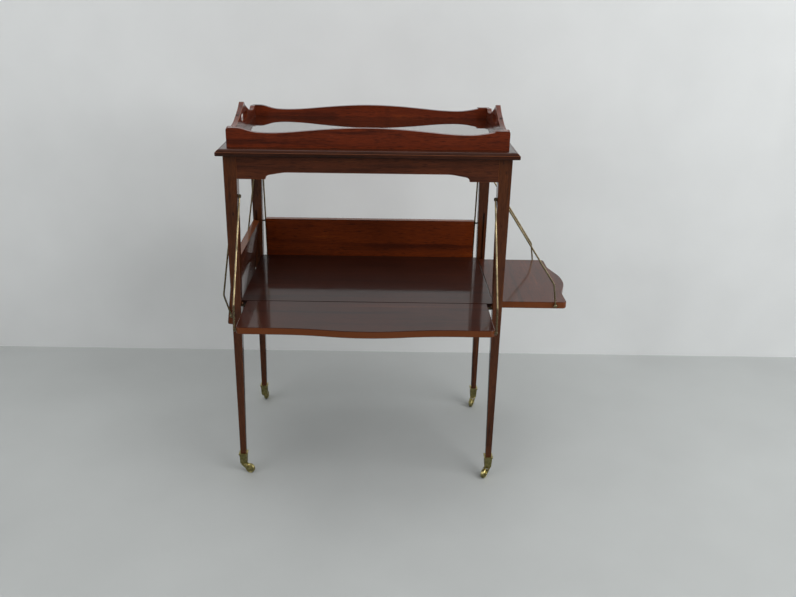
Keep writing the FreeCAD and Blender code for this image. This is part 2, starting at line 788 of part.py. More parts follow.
def build():
    """Make every node and write it."""
    nodes = {"table_top": [table_top()], "glue_blocks": glue_blocks()}
    apron_nodes = aprons()
    leaf_nodes = leaves()
    fixings = Part.makeCompound(list(apron_nodes.values()) + leaf_nodes["stay_screws"])
    dowel = corner_dowel()
    leg = plain_leg()
    for across_x in (True, False):
        leg = leg.cut(groove(across_x))
    legs = []
    dowels = []
    for name, over_x, over_y in at_corners():
        legs.append(mirrored(leg, over_x, over_y))
        dowels.append(mirrored(dowel, over_x, over_y))
    nodes["fixed_shelf"] = [fixed_shelf(dowels)]
    nodes["shelf_dowels"] = dowels
    for shape, (name, over_x, over_y), pin in zip(legs, at_corners(), dowels):
        nodes["leg_" + name] = [shape.cut(fixings).cut(pin)]
    for name, shape in apron_nodes.items():
        nodes[name] = [shape]
    nodes.update(leaf_nodes)
    nodes.update(casters(legs))
    nodes.update(tray())
    for name, shapes in nodes.items():
        save(name, shapes)
        for shape in shapes:
            print(name, "valid", shape.isValid(), "solids", len(shape.Solids), "mm3", round(shape.Volume))
    print("nodes", len(nodes))
    print("shelf half x, y", shelf_half_x, shelf_half_y, "groove x, y", groove_x, groove_y)
    print("stay top", stay_top, "board middle", board_middle, "open swing deg", math.degrees(open_swing))
    for lean in (rear_leaf_lean_deg, left_leaf_lean_deg):
        swing, rise = raised_leaf(lean)
        print("raised at lean", lean, "stay swing deg", math.degrees(swing), "pin rise", rise)
    print("caster x, y", caster_x, caster_y, "trail", caster_trail)


os.makedirs("parts", exist_ok=True)
build()
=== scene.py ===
import json
import logging
import math
from dataclasses import dataclass, field, replace
from enum import Enum
from typing import NamedTuple

import bmesh
import bpy
from mathutils import Matrix, Vector
from mathutils.bvhtree import BVHTree


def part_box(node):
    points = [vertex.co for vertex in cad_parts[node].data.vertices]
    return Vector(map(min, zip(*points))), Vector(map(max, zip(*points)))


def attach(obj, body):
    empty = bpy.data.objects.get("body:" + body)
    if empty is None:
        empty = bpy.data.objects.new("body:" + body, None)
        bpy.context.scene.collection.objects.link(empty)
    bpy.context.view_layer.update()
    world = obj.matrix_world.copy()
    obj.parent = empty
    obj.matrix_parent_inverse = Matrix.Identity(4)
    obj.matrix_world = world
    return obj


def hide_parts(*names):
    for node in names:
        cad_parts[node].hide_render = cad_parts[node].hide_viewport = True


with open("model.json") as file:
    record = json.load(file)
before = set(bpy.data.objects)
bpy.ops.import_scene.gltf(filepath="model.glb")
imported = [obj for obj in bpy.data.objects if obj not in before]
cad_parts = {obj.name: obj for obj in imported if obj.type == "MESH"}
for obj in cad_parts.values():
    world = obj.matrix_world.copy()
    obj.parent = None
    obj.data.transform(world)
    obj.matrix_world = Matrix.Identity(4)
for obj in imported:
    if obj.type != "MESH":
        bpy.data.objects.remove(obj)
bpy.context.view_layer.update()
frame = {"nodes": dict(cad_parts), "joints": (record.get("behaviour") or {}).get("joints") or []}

MM = 0.001
NEAR = 0.001 * MM
UP = Vector((0.0, 0.0, 1.0))
# Patterns are squeezed by this along the grain, so they run about 22 times as far that way.
PULL = 0.045
log = logging.getLogger("serving_table")


class Grain(Enum):
    """The way a board's grain runs, with the stretch of its pattern along each axis."""

    LONG = (PULL, 1.0, 1.0)
    CROSS = (1.0, PULL, 1.0)
    UPRIGHT = (1.0, 1.0, PULL)


class Side(Enum):
    """A side of the table, with the name that its nodes carry."""

    FRONT = "front"
    RIGHT = "right"
    REAR = "rear"
    LEFT = "left"


class Corner(Enum):
    """A corner of the table, with the name that its nodes carry."""

    FRONT_LEFT = "front_left"
    FRONT_RIGHT = "front_right"
    REAR_LEFT = "rear_left"
    REAR_RIGHT = "rear_right"


class Span(NamedTuple):
    """Two places in a noise that runs from 0 to 1, and the values that they turn into."""

    low: float
    high: float
    at_low: float
    at_high: float

    def times(self, factor: float) -> "Span":
        """Multiply the values that the places turn into."""
        return Span(self.low, self.high, self.at_low * factor, self.at_high * factor)


class Softbox(NamedTuple):
    """A soft square lamp, with its place and side in metres and its power in watts."""

    name: str
    place: tuple[float, float, float]
    size: float
    power: float
    mirrored: bool = True


def linear(code: str) -> tuple[float, float, float, float]:
    """Turn an sRGB hex value into linear light.

    Args:
        code: Six hex digits after a hash sign.

    Returns:
        Red, green, blue and an alpha of one.
    """
    parts = [int(code[i:i + 2], 16) / 255 for i in (1, 3, 5)]
    light = [c / 12.92 if c <= 0.04045 else ((c + 0.055) / 1.055) ** 2.4 for c in parts]
    return (light[0], light[1], light[2], 1.0)


def dome(radius: float, rise: float, count: int) -> list[tuple[float, float]]:
    """List the profile of a domed top, from its middle to its rim at height zero.

    Args:
        radius: The rim's radius in metres.
        rise: How high the middle stands over the rim in metres.
        count: How many steps the curve has.

    Returns:
        Radius and height of each point.
    """
    angles = [math.pi / 2 * i / count for i in range(count + 1)]
    return [(radius * math.sin(a), rise * math.cos(a)) for a in angles]


def add_node(tree: bpy.types.NodeTree, kind: str, settings: dict | None = None,
             values: dict | None = None, links: dict | None = None) -> bpy.types.Node:
    """Add a shader node with its settings and links.

    Args:
        tree: The node tree that gets the node.
        kind: Blender's name for the node type.
        settings: Properties of the node itself.
        values: Constant values by input name or index.
        links: Sockets to link by input name or index.

    Returns:
        The new node.
    """
    node = tree.nodes.new(kind)
    for name, value in (settings or {}).items():
        setattr(node, name, value)
    for name, value in (values or {}).items():
        node.inputs[name].default_value = value
    for name, socket in (links or {}).items():
        tree.links.new(socket, node.inputs[name])
    return node


def add_noise(tree: bpy.types.NodeTree, vector: bpy.types.NodeSocket, size_mm: float, detail: float,
              roughness: float = 0.5) -> bpy.types.Node:
    """Add a cloudy noise of a real size.

    Args:
        tree: The node tree that gets it.
        vector: The coordinates that it reads.
        size_mm: How wide its clouds are in millimetres.
        detail: How many finer layers it has.
        roughness: How strong the finer layers are.

    Returns:
        The noise node.
    """
    return add_node(tree, "ShaderNodeTexNoise",
                    values={"Scale": 1 / (size_mm * MM), "Detail": detail, "Roughness": roughness},
                    links={"Vector": vector})


def remap(tree: bpy.types.NodeTree, value: bpy.types.NodeSocket, span: Span) -> bpy.types.NodeSocket:
    """Stretch a part of a noise to other values.

    Args:
        tree: The node tree that gets the node.
        value: The noise.
        span: The part, and what it becomes.

    Returns:
        The stretched value.
    """
    node = add_node(tree, "ShaderNodeMapRange",
                    values={"From Min": span.low, "From Max": span.high,
                            "To Min": span.at_low, "To Max": span.at_high},
                    links={"Value": value})
    return node.outputs["Result"]


def shade(tree: bpy.types.NodeTree, colour: bpy.types.NodeSocket,
          tone: bpy.types.NodeSocket) -> bpy.types.NodeSocket:
    """Multiply a colour by a tone.

    Args:
        tree: The node tree that gets the node.
        colour: The colour.
        tone: The tone, where one changes nothing.

    Returns:
        The shaded colour.
    """
    node = add_node(tree, "ShaderNodeMix", {"data_type": "RGBA", "blend_type": "MULTIPLY"},
                    values={"Factor": 1.0}, links={"A": colour, "B": tone})
    return node.outputs["Result"]


def cover(tree: bpy.types.NodeTree, share: bpy.types.NodeSocket, colour: bpy.types.NodeSocket,
          code: str) -> bpy.types.NodeSocket:
    """Cover a colour with another one by a share.

    Args:
        tree: The node tree that gets the node.
        share: How much is covered, from 0 to 1.
        colour: The colour below.
        code: The colour on top as sRGB hex.

    Returns:
        The mixed colour.
    """
    node = add_node(tree, "ShaderNodeMix", {"data_type": "RGBA"}, values={"B": linear(code)},
                    links={"Factor": share, "A": colour})
    return node.outputs["Result"]


def between(tree: bpy.types.NodeTree, share: bpy.types.NodeSocket, first: str,
            second: str) -> bpy.types.NodeSocket:
    """Go from one hex colour to another by a share.

    Args:
        tree: The node tree that gets the node.
        share: How far to go, from 0 to 1.
        first: The colour at 0 as sRGB hex.
        second: The colour at 1 as sRGB hex.

    Returns:
        The mixed colour.
    """
    node = add_node(tree, "ShaderNodeMix", {"data_type": "RGBA"},
                    values={"A": linear(first), "B": linear(second)}, links={"Factor": share})
    return node.outputs["Result"]


def bump(tree: bpy.types.NodeTree, height: bpy.types.NodeSocket, strength: float, depth_mm: float,
         below: bpy.types.NodeSocket | None = None, sunk: bool = False) -> bpy.types.NodeSocket:
    """Turn a pattern into relief.

    Args:
        tree: The node tree that gets the node.
        height: The pattern.
        strength: How strongly it shows.
        depth_mm: How deep it is in millimetres.
        below: Relief that it lies on.
        sunk: Whether the pattern goes in and not out.

    Returns:
        The normal.
    """
    links = {"Height": height}
    if below is not None:
        links["Normal"] = below
    node = add_node(tree, "ShaderNodeBump", {"invert": sunk},
                    values={"Strength": strength, "Distance": depth_mm * MM}, links=links)
    return node.outputs["Normal"]


def colour_ramp(tree: bpy.types.NodeTree, factor: bpy.types.NodeSocket,
                stops: list[tuple[float, str]]) -> bpy.types.NodeSocket:
    """Turn a factor into a colour through hex stops.

    Args:
        tree: The node tree that gets the ramp.
        factor: The socket that drives it.
        stops: Places from 0 to 1 with their hex colours.

    Returns:
        The ramp's colour socket.
    """
    ramp = add_node(tree, "ShaderNodeValToRGB", links={"Fac": factor})
    elements = ramp.color_ramp.elements
    while len(elements) < len(stops):
        elements.new(0.5)
    for element, (place, code) in zip(elements, stops):
        element.position = place
        element.color = linear(code)
    return ramp.outputs["Color"]


def new_material(name: str) -> tuple[bpy.types.Material, bpy.types.NodeTree, bpy.types.Node,
                                     bpy.types.NodeSocket]:
    """Start a material with one output and the object's own coordinates.

    Args:
        name: The finish's name.

    Returns:
        The material, its node tree, its output node and the coordinates.
    """
    material = bpy.data.materials.new(name)
    material.use_nodes = True
    tree = material.node_tree
    tree.nodes.clear()
    output = add_node(tree, "ShaderNodeOutputMaterial")
    return material, tree, output, add_node(tree, "ShaderNodeTexCoord").outputs["Object"]


@dataclass(frozen=True)
class PolishedMahogany:
    """French-polished Cuban mahogany: sliced boards, stained red-brown and polished with shellac on a
    rubber.

    The eye gets a deep red-brown with soft ribbon stripes, short dark pores along the grain,
    and a clear film on top that mirrors its surroundings at a low angle. The arris attribute
    marks the eased arrises and the narrow rim faces, which take the edge colour: wear that
    takes the stain away on the arrises, a painted highlight on the leaves' rims, and painted
    shade on the fixed shelf's arrises and rim, which lie in its joints with the leaves.
    """

    name: str
    grain: Grain
    deep: str
    body: str
    light: str
    # Edge colour: wear on eased arrises, a painted highlight on leaf rims, painted shade in the shelf's
    # joints.
    edge_wear_and_painted_light: str = "#9a5424"
    edge_wear_and_painted_light_share: float = 0.55
    pore_colour: str = "#1d0b06"
    ribbon_mm: float = 16.0
    ribbon_stops: tuple[float, float, float, float] = (0.30, 0.48, 0.60, 0.78)
    fibre_mm: float = 1.1
    fibre_tone: Span = Span(0.35, 0.68, 0.78, 1.14)
    fibre_relief: float = 0.10
    # Pores are really about 0.3 mm wide and are drawn three times as coarse, so that they show.
    pore_mm: float = 0.9
    pore_mask: Span = Span(0.66, 0.74, 0.0, 0.75)
    pore_relief: float = 0.18
    relief_mm: float = 0.2
    # The slow patterns have 9, 7 and 22 clouds to the metre.
    wander_mm: float = 1000 / 9
    wander_reach_mm: float = 12.0
    patch_mm: float = 1000 / 7
    age_tone: Span = Span(0.3, 0.7, 0.82, 1.12)
    bare_roughness: float = 0.5
    bare_gloss: float = 0.08
    ior: float = 1.5
    film: float = 0.8
    film_roughness: float = 0.10
    smear_mm: float = 1000 / 22
    smear_tone: Span = Span(0.3, 0.75, 0.7, 1.6)
    ripple_relief: float = 0.05
    ripple_mm: float = 1.2
    start: tuple[float, float, float] = (0.0, 0.0, 0.0)

    def build(self) -> bpy.types.Material:
        """Make the material.

        Returns:
            The finished material.
        """
        material, tree, output, place = new_material(self.name)
        along = add_node(tree, "ShaderNodeMapping",
                         values={"Location": self.start, "Scale": self.grain.value},
                         links={"Vector": place}).outputs["Vector"]
        wander = add_noise(tree, place, self.wander_mm, detail=2.0)
        reach = self.wander_reach_mm * MM
        drift = add_node(tree, "ShaderNodeVectorMath", {"operation": "MULTIPLY_ADD"},
                         values={1: (reach, reach, reach)},
                         links={0: wander.outputs["Color"], 2: along}).outputs["Vector"]
        ribbon = add_noise(tree, drift, self.ribbon_mm, detail=3.0, roughness=0.55).outputs["Fac"]
        fibre = add_noise(tree, drift, self.fibre_mm, detail=2.0, roughness=0.6).outputs["Fac"]
        pore = add_noise(tree, along, self.pore_mm, detail=0.0).outputs["Fac"]
        patch = add_noise(tree, place, self.patch_mm, detail=3.0).outputs["Fac"]
        smear = add_noise(tree, place, self.smear_mm, detail=4.0).outputs["Fac"]
        tones = (self.deep, self.body, self.body, self.light)
        colour = colour_ramp(tree, ribbon, list(zip(self.ribbon_stops, tones)))
        colour = shade(tree, colour, remap(tree, fibre, self.fibre_tone))
        pit = remap(tree, pore, self.pore_mask)
        colour = cover(tree, pit, colour, self.pore_colour)
        colour = shade(tree, colour, remap(tree, patch, self.age_tone))
        # Edge colour laid over the arris layer: wear on eased arrises, and painted light on rims, pale for a
        # highlight, dark for shade.
        arris = add_node(tree, "ShaderNodeAttribute", {"attribute_name": "arris"})
        edge_wear_and_painted_light_mask = add_node(tree, "ShaderNodeMath", {"operation": "MULTIPLY"}, values={1: self.edge_wear_and_painted_light_share},
                        links={0: arris.outputs["Fac"]})
        colour = cover(tree, edge_wear_and_painted_light_mask.outputs["Value"], colour, self.edge_wear_and_painted_light)
        combed = bump(tree, fibre, self.fibre_relief, self.relief_mm)
        pored = bump(tree, pit, self.pore_relief, self.relief_mm, combed, sunk=True)
        film = self.smear_tone.times(self.film_roughness)
        shader = add_node(tree, "ShaderNodeBsdfPrincipled",
                          values={"Roughness": self.bare_roughness, "IOR": self.ior,
                                  "Specular IOR Level": self.bare_gloss,
                                  "Coat Weight": self.film, "Coat IOR": self.ior},
                          links={"Base Color": colour,
                                 "Normal": pored,
                                 "Coat Roughness": remap(tree, smear, film),
                                 "Coat Normal": bump(tree, patch, self.ripple_relief, self.ripple_mm)})
        tree.links.new(shader.outputs["BSDF"], output.inputs["Surface"])
        return material


@dataclass(frozen=True)
class RawPine:
    """Sawn and planed pine, left without polish on hidden pieces.

    The eye gets a dull tan board darkened by age, with faint stripes and no shine.
    """

    name: str = "planed_pine"
    pale: str = "#7a5638"
    dark: str = "#5b3c26"
    stripe_mm: float = 6.0
    stripe_stops: tuple[float, float] = (0.35, 0.65)
    relief: float = 0.25
    relief_mm: float = 0.3
    roughness: float = 0.75
    ior: float = 1.45
    grain: Grain = Grain.LONG

    def build(self) -> bpy.types.Material:
        """Make the material.

        Returns:
            The finished material.
        """
        material, tree, output, place = new_material(self.name)
        along = add_node(tree, "ShaderNodeMapping", values={"Scale": self.grain.value},
                         links={"Vector": place})
        stripe = add_noise(tree, along.outputs["Vector"], self.stripe_mm, detail=4.0).outputs["Fac"]
        colour = colour_ramp(tree, stripe, list(zip(self.stripe_stops, (self.dark, self.pale))))
        shader = add_node(tree, "ShaderNodeBsdfPrincipled",
                          values={"Roughness": self.roughness, "IOR": self.ior},
                          links={"Base Color": colour,
                                 "Normal": bump(tree, stripe, self.relief, self.relief_mm)})
        tree.links.new(shader.outputs["BSDF"], output.inputs["Surface"])
        return material


@dataclass(frozen=True)
class Brass:
    """Yellow brass, drawn or cast, then polished by hand and left to dull.

    The eye gets a warm gold that turns olive or brown in patches, duller there, with fine rubbing marks.
    """

    name: str
    bright: str
    dull: str
    roughness: float
    tarnish_mm: float
    tarnish: float
    tarnish_places: tuple[float, float] = (0.40, 0.66)
    tarnish_haze: float = 0.22
    scratch_mm: float = 0.7
    scratch_relief: float = 0.12
    scratch_depth_mm: float = 0.1

    def build(self) -> bpy.types.Material:
        """Make the material.

        Returns:
            The finished material.
        """
        material, tree, output, place = new_material(self.name)
        cloud = add_noise(tree, place, self.tarnish_mm, detail=5.0, roughness=0.62).outputs["Fac"]
        spread = remap(tree, cloud, Span(*self.tarnish_places, 0.0, self.tarnish))
        haze = add_node(tree, "ShaderNodeMath", {"operation": "MULTIPLY_ADD"},
                        values={1: self.tarnish_haze, 2: self.roughness}, links={0: spread})
        scratch = add_noise(tree, place, self.scratch_mm, detail=2.0).outputs["Fac"]
        shader = add_node(tree, "ShaderNodeBsdfPrincipled", values={"Metallic": 1.0},
                          links={"Base Color": between(tree, spread, self.bright, self.dull),
                                 "Roughness": haze.outputs["Value"],
                                 "Normal": bump(tree, scratch, self.scratch_relief, self.scratch_depth_mm)})
        tree.links.new(shader.outputs["BSDF"], output.inputs["Surface"])
        return material


@dataclass(frozen=True)
class PlateGlass:
    """Polished plate glass, four millimetres thick.

    The eye gets a clear sheet that turns to a mirror at a low angle, faintly smeared and faintly green.
    """

    name: str = "plate_glass"
    tint: str = "#eef6f3"
    ior: float = 1.52
    gloss: float = 0.9
    smear_mm: float = 70.0
    smear_roughness: Span = Span(0.45, 0.8, 0.01, 0.07)

    def build(self) -> bpy.types.Material:
        """Make the material.

        Returns:
            The finished material.
        """
        material, tree, output, place = new_material(self.name)
        smear = add_noise(tree, place, self.smear_mm, detail=4.0).outputs["Fac"]
        shader = add_node(tree, "ShaderNodeBsdfPrincipled",
                          values={"Base Color": linear(self.tint), "IOR": self.ior,
                                  "Transmission Weight": 1.0, "Specular IOR Level": self.gloss,
                                  "Coat Weight": 1.0, "Coat IOR": self.ior},
                          links={"Roughness": remap(tree, smear, self.smear_roughness)})
        clear = add_node(tree, "ShaderNodeBsdfTransparent", values={"Color": linear(self.tint)})
        rays = add_node(tree, "ShaderNodeLightPath")
        # Light passes the sheet unbent, so that the board below is lit as under a real pane.
        mixed = add_node(tree, "ShaderNodeMixShader",
                         links={0: rays.outputs["Is Shadow Ray"], 1: shader.outputs["BSDF"],
                                2: clear.outputs["BSDF"]})
        tree.links.new(mixed.outputs["Shader"], output.inputs["Surface"])
        return material


@dataclass(frozen=True)
class StagePaint:
    """Matt paint on the studio's floor and wall.

    The eye gets a plain pale surface with faint clouds, another tone where polish mirrors it,
    and nothing at all from behind, so that the table shows from every side.
    """

    name: str
    colour: str
    mirrored: str
    roughness: float
    cloud_mm: float = 1000 / 3
    cloud_tone: Span = Span(0.3, 0.7, 0.95, 1.03)

    def build(self) -> bpy.types.Material:
        """Make the material.

        Returns:
            The finished material.
        """
        material, tree, output, place = new_material(self.name)
        cloud = add_noise(tree, place, self.cloud_mm, detail=5.0).outputs["Fac"]
        rays = add_node(tree, "ShaderNodeLightPath")
        seen = between(tree, rays.outputs["Is Glossy Ray"], self.colour, self.mirrored)
        shader = add_node(tree, "ShaderNodeBsdfPrincipled", values={"Roughness": self.roughness},
                          links={"Base Color": shade(tree, seen, remap(tree, cloud, self.cloud_tone))})
        side = add_node(tree, "ShaderNodeNewGeometry")
        clear = add_node(tree, "ShaderNodeBsdfTransparent")
        shown = add_node(tree, "ShaderNodeMixShader",
                         links={0: side.outputs["Backfacing"], 1: shader.outputs["BSDF"],
                                2: clear.outputs["BSDF"]})
        tree.links.new(shown.outputs["Shader"], output.inputs["Surface"])
        return material


@dataclass
class Bench:
    """Turns meshes into finished pieces that ride the CAD bodies."""

    smooth_deg: float = 32.0
    flat_deg: float = 0.4
    merge_gap: float = 2 * NEAR
    ease_steps: int = 2
    ease_shape: float = 0.5
    rim_slope: float = 0.35
    count: int = 0

    def eased(self, node: str, ease: float) -> bmesh.types.BMesh:
        """Copy a CAD node's mesh and take off its sharp arrises.

        Args:
            node: The CAD node that is copied.
            ease: Width of the rounding in metres.

        Returns:
            A bmesh with its new edge faces marked in the arris layer.
        """
        bm = bmesh.new()
        bm.from_mesh(frame["nodes"][node].data)
        layer = bm.faces.layers.float.new("arris")
        bmesh.ops.remove_doubles(bm, verts=bm.verts, dist=self.merge_gap)
        bmesh.ops.dissolve_limit(bm, angle_limit=math.radians(self.flat_deg), verts=bm.verts, edges=bm.edges)
        sharp = [edge for edge in bm.edges if len(edge.link_faces) == 2 and edge.is_convex
                 and edge.calc_face_angle(0.0) > math.radians(self.smooth_deg)]
        made = bmesh.ops.bevel(bm, geom=sharp, offset=ease, offset_type="OFFSET", segments=self.ease_steps,
                               profile=self.ease_shape, affect="EDGES", clamp_overlap=True, material=-1)
        for face in made["faces"]:
            face[layer] = 1.0
        return bm

    def turned(self, profile: list[tuple[float, float]], steps: int) -> bmesh.types.BMesh:
        """Turn a profile about the upright axis.

        Args:
            profile: Radius and height of each point, from the top to the bottom.
            steps: How many sides the turned piece has.

        Returns:
            A closed bmesh.
        """
        bm = bmesh.new()
        points = [bm.verts.new((radius, 0.0, height)) for radius, height in profile]
        edges = [bm.edges.new(pair) for pair in zip(points, points[1:])]
        bmesh.ops.spin(bm, geom=points + edges, cent=(0, 0, 0), axis=UP, angle=math.tau, steps=steps,
                       use_merge=True)
        bmesh.ops.remove_doubles(bm, verts=bm.verts, dist=NEAR)
        bmesh.ops.recalc_face_normals(bm, faces=bm.faces)
        return bm

    def add_placed(self, group: bmesh.types.BMesh, bm: bmesh.types.BMesh, place: Vector, way: Vector,
                   turn: float = 0.0) -> None:
        """Stand a piece up along a direction and add it to a group.

        Args:
            group: The bmesh that it joins.
            bm: The piece, made upright at the origin, which is freed.
            place: Where its origin goes.
            way: Where its top points.
            turn: Its turn about its own axis in radians.
        """
        tilt = UP.rotation_difference(way).to_matrix().to_4x4()
        bm.transform(Matrix.Translation(place) @ tilt @ Matrix.Rotation(turn, 4, "Z"))
        mesh = bpy.data.meshes.new("placed")
        bm.to_mesh(mesh)
        bm.free()
        group.from_mesh(mesh)
        bpy.data.meshes.remove(mesh)

    def mark_rim_with_painted_light(self, bm: bmesh.types.BMesh, share: float) -> None:
        """Mark the narrow faces round a board with painted light: a painted highlight on a leaf's rim,
        and painted shade on the fixed shelf's rim, which lies in its joints with the leaves.

        Args:
            bm: The board, with an arris layer.
            share: How far its rim goes towards the edge colour that paints this light.
        """
        layer = bm.faces.layers.float["arris"]
        broad = max(bm.faces, key=lambda face: face.calc_area()).normal.copy()
        for face in bm.faces:
            if face[layer] < share and abs(face.normal.dot(broad)) < self.rim_slope:
                face[layer] = share

    def hang(self, name: str, bm: bmesh.types.BMesh, material: bpy.types.Material, body: str, slot: str,
             *stands_for: str) -> None:
        """Make a piece from a bmesh and let it ride a body.

        Args:
            name: The piece's name.
            bm: Its mesh, which is freed.
            material: Its finish.
            body: The CAD body that it moves with.
            slot: The material slot of the record that it belongs to; not used.
            *stands_for: CAD nodes that it replaces.
        """
        bmesh.ops.recalc_face_normals(bm, faces=bm.faces)
        for face in bm.faces:
            face.smooth = True
        mesh = bpy.data.meshes.new(name)
        bm.to_mesh(mesh)
        bm.free()
        mesh.set_sharp_from_angle(angle=math.radians(self.smooth_deg))
        mesh.materials.append(material)
        piece = bpy.data.objects.new(name, mesh)
        bpy.context.scene.collection.objects.link(piece)
        even = piece.modifiers.new("even_shading", "WEIGHTED_NORMAL")
        even.keep_sharp = True
        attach(piece, body)
        if stands_for:
            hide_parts(*stands_for)
        self.count += 1
        log.info("%s rides %s, %d faces", name, body, len(mesh.polygons))

    def dress(self, node: str, material: bpy.types.Material) -> None:
        """Give a CAD node that stays its finish.

        Args:
            node: The CAD node.
            material: Its finish.
        """
        kept = frame["nodes"][node]
        kept.data.materials.clear()
        kept.data.materials.append(material)
        for polygon in kept.data.polygons:
            polygon.material_index = 0
        log.info("%s keeps its CAD shape", node)


def finish(look: PolishedMahogany | RawPine | Brass | PlateGlass) -> bpy.types.Material:
    """Hold one finish of the table, which is built when the finishes are made.

    Args:
        look: The finish.

    Returns:
        A dataclass field for its material.
    """
    return field(default_factory=look.build)


SHELF_WOOD = PolishedMahogany("mahogany_shelf", Grain.LONG, "#29100a", "#38170c", "#4a2010",
                              ribbon_mm=24.0, film=0.65, film_roughness=0.07, start=(0.0, 0.3, 0.1))


@dataclass(frozen=True)
class Finishes:
    """All finishes of the table, built once."""

    long_board: bpy.types.Material = finish(PolishedMahogany(
        "mahogany_tray_long", Grain.LONG, "#45190a", "#69280f", "#893b16", start=(0.3, 0.11, 0.7)))
    cross_board: bpy.types.Material = finish(PolishedMahogany(
        "mahogany_tray_cross", Grain.CROSS, "#40170a", "#5e240f", "#7a3616", start=(0.6, 0.2, 0.4)))
    leg: bpy.types.Material = finish(PolishedMahogany(
        "mahogany_leg", Grain.UPRIGHT, "#391d0e", "#552c14", "#6e3c1b", ribbon_mm=11.0))
    ebonised: bpy.types.Material = finish(PolishedMahogany(
        "ebonised_mahogany", Grain.UPRIGHT, "#100a06", "#1b120b", "#291b10",
        ribbon_mm=3.0, film=0.15, film_roughness=0.4))
    apron_long: bpy.types.Material = finish(PolishedMahogany(
        "mahogany_apron_long", Grain.LONG, "#391b0e", "#542915", "#6c3c1e", start=(0.0, 0.5, 0.0)))
    apron_cross: bpy.types.Material = finish(PolishedMahogany(
        "mahogany_apron_cross", Grain.CROSS, "#391b0e", "#542915", "#6c3c1e"))
    carcase_long: bpy.types.Material = finish(PolishedMahogany(
        "mahogany_carcase_long", Grain.LONG, "#29130a", "#3d1d0f", "#502b16", start=(0.0, 0.5, 0.0)))
    rear_leaf: bpy.types.Material = finish(PolishedMahogany(
        "mahogany_rear_leaf", Grain.LONG, "#4c1b08", "#702d0b", "#914412",
        ribbon_mm=22.0, start=(0.2, 0.0, 0.35)))
    side_leaf: bpy.types.Material = finish(PolishedMahogany(
        "mahogany_side_leaf", Grain.CROSS, "#34160b", "#4b200f", "#612e16", ribbon_mm=20.0, film=0.65))
    front_leaf: bpy.types.Material = finish(SHELF_WOOD)
    # The fixed shelf's arrises and rim lie in the joints with the leaves; their dark edge colour is painted
    # shade in the gaps.
    fixed_shelf: bpy.types.Material = finish(
        replace(SHELF_WOOD, name="mahogany_fixed_shelf", edge_wear_and_painted_light="#0c0503"))
    pine: bpy.types.Material = finish(RawPine())
    rod_brass: bpy.types.Material = finish(
        Brass("drawn_brass", "#ad9c78", "#665c46", roughness=0.22, tarnish_mm=26.0, tarnish=0.8))
    pin_brass: bpy.types.Material = finish(
        Brass("blackened_brass", "#6b5f48", "#2e2922", roughness=0.36, tarnish_mm=6.0, tarnish=1.0))
    caster_brass: bpy.types.Material = finish(
        Brass("cast_brass", "#cfc284", "#837a4b", roughness=0.30, tarnish_mm=9.0, tarnish=0.8))
    glass: bpy.types.Material = finish(PlateGlass())


@dataclass
class Carcase:
    """Moulded top, four aprons and four tapered legs."""

    bench: Bench
    finishes: Finishes
    body: str = "table"
    top_ease: float = 0.5 * MM
    apron_ease: float = 0.7 * MM
    leg_ease: float = 0.5 * MM

    def build(self) -> None:
        """Build the top, aprons and legs, and dress what stays hidden."""
        self.bench.hang("moulded_top", self.bench.eased("table_top", self.top_ease),
                        self.finishes.carcase_long, self.body, "mahogany", "table_top")
        for side in Side:
            node = f"apron_{side.value}"
            long_way = side in (Side.FRONT, Side.REAR)
            wood = self.finishes.apron_long if long_way else self.finishes.apron_cross
            self.bench.hang(f"coved_{node}", self.bench.eased(node, self.apron_ease), wood, self.body,
                            "mahogany", node)
        for corner in Corner:
            node = f"leg_{corner.value}"
            self.bench.hang(f"tapered_{node}", self.bench.eased(node, self.leg_ease), self.finishes.leg,
                            self.body, "mahogany", node)
        self.bench.dress("glue_blocks", self.finishes.pine)


@dataclass
class LowShelf:
    """Fixed shelf between the legs."""

    bench: Bench
    finishes: Finishes
    body: str = "table"
    ease: float = 0.9 * MM
    # Painted shade on the shelf's rim, in its joints with the leaves.
    rim_painted_light_share: float = 0.9

    def build(self) -> None:
        """Build the shelf and dress its dowels."""
        board = self.bench.eased("fixed_shelf", self.ease)
        # The shelf's rim gets the dark edge colour as painted shade in the joints.
        self.bench.mark_rim_with_painted_light(board, self.rim_painted_light_share)
        self.bench.hang("low_shelf", board, self.finishes.fixed_shelf, self.body, "mahogany", "fixed_shelf")
        self.bench.dress("shelf_dowels", self.finishes.pine)


@dataclass
class SwingLeaf:
    """One leaf with its pins, studs and two stays."""

    bench: Bench
    finishes: Finishes
    side: Side
    ease: float = 0.8 * MM
    # Painted highlight on the leaf's rim, as an edge that catches the light.
    rim_painted_light_share: float = 0.7
    metal_ease: float = 0.2 * MM

    def build(self) -> None:
        """Build the board and dress its metalwork."""
        side = self.side.value
        node = f"{side}_leaf"
        wood = {Side.FRONT: self.finishes.front_leaf, Side.REAR: self.finishes.rear_leaf,
                Side.LEFT: self.finishes.side_leaf, Side.RIGHT: self.finishes.side_leaf}[self.side]
        board = self.bench.eased(node, self.ease)
        # The leaf's rim gets the pale edge colour as a painted highlight.
        self.bench.mark_rim_with_painted_light(board, self.rim_painted_light_share)
        self.bench.hang(f"serpentine_leaf_{side}", board, wood, node, "mahogany", node)
        self.bench.dress(f"{node}_pins", self.finishes.pin_brass)
        self.bench.dress(f"{node}_studs", self.finishes.rod_brass)
        for stay in sorted(frame["nodes"]):
            if stay.startswith(f"{node}_stay_"):
                self.bench.hang(f"bent_{stay}", self.bench.eased(stay, self.metal_ease),
                                self.finishes.rod_brass, stay, "brass", stay)


